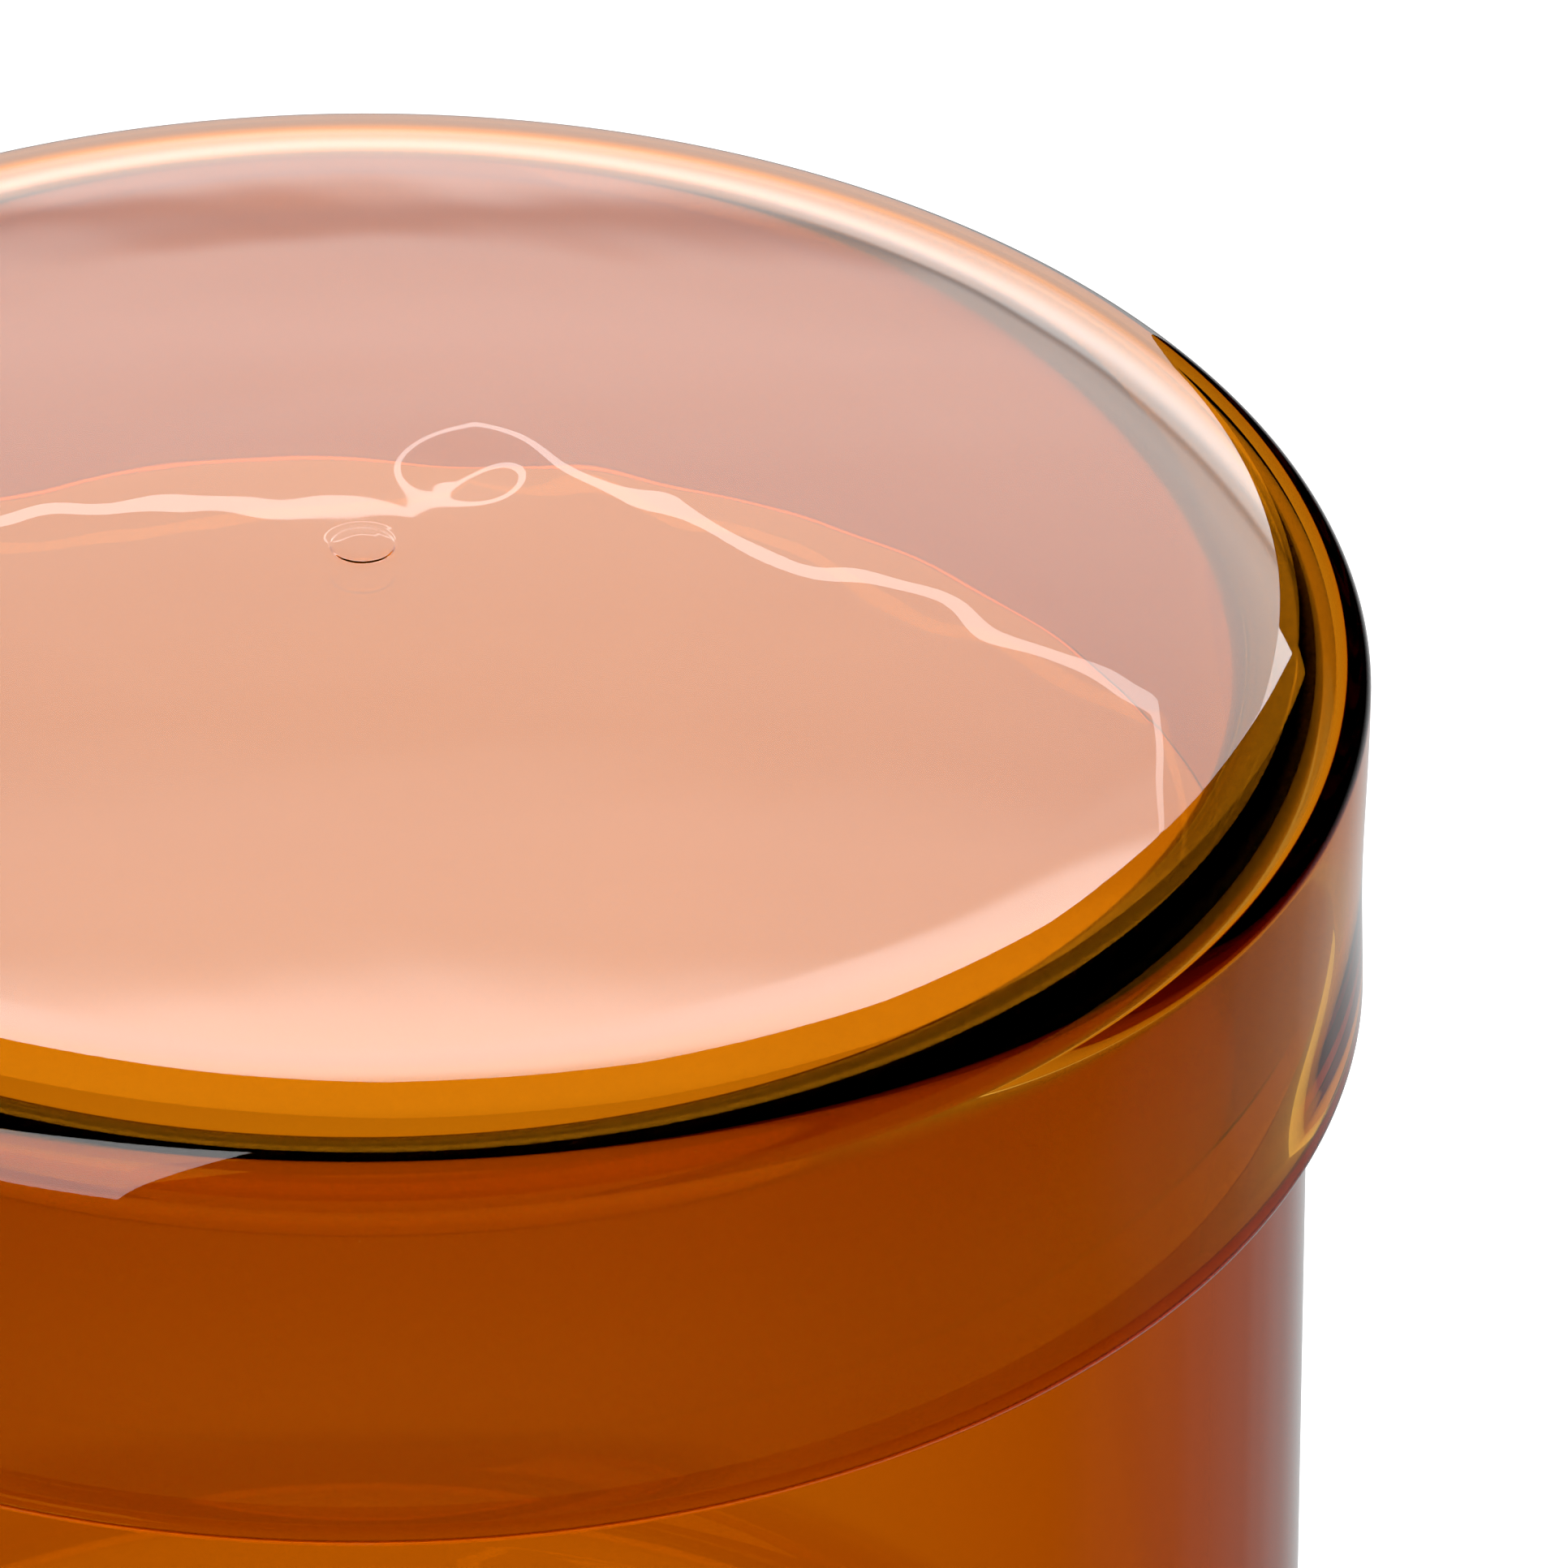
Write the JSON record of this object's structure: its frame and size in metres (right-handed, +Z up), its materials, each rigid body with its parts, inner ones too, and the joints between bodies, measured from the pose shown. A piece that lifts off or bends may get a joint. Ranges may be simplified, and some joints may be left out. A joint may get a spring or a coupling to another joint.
{
  "type": "apothecary jar",
  "caption": "Straight-sided round apothecary jar in clear amber glass with a low-domed cap lid whose skirt drops over the outside of the jar and lifts straight off.",
  "frame": {"origin": "centre of the flat face that the jar stands on", "axes": "+Z up along the jar's axis, from the base to the lid; X and Y are alike because the jar is round"},
  "size_m": [0.1, 0.1, 0.0893],
  "materials": {
    "jar_glass": "clear amber glass, glossy inside and out",
    "lid_glass": "clear amber glass, glossy, with faint concentric rings and a faint seal mark in the middle of the top"
  },
  "bodies": {
    "jar_body": {"jar": "jar_glass"},
    "lid_body": {"lid": "lid_glass"}
  },
  "joints": [
    {"name": "lid_lift", "type": "slide", "parent": "jar_body", "child": "lid_body", "axis": [0, 0, 1], "range_m": [0, 0.05]}
  ]
}
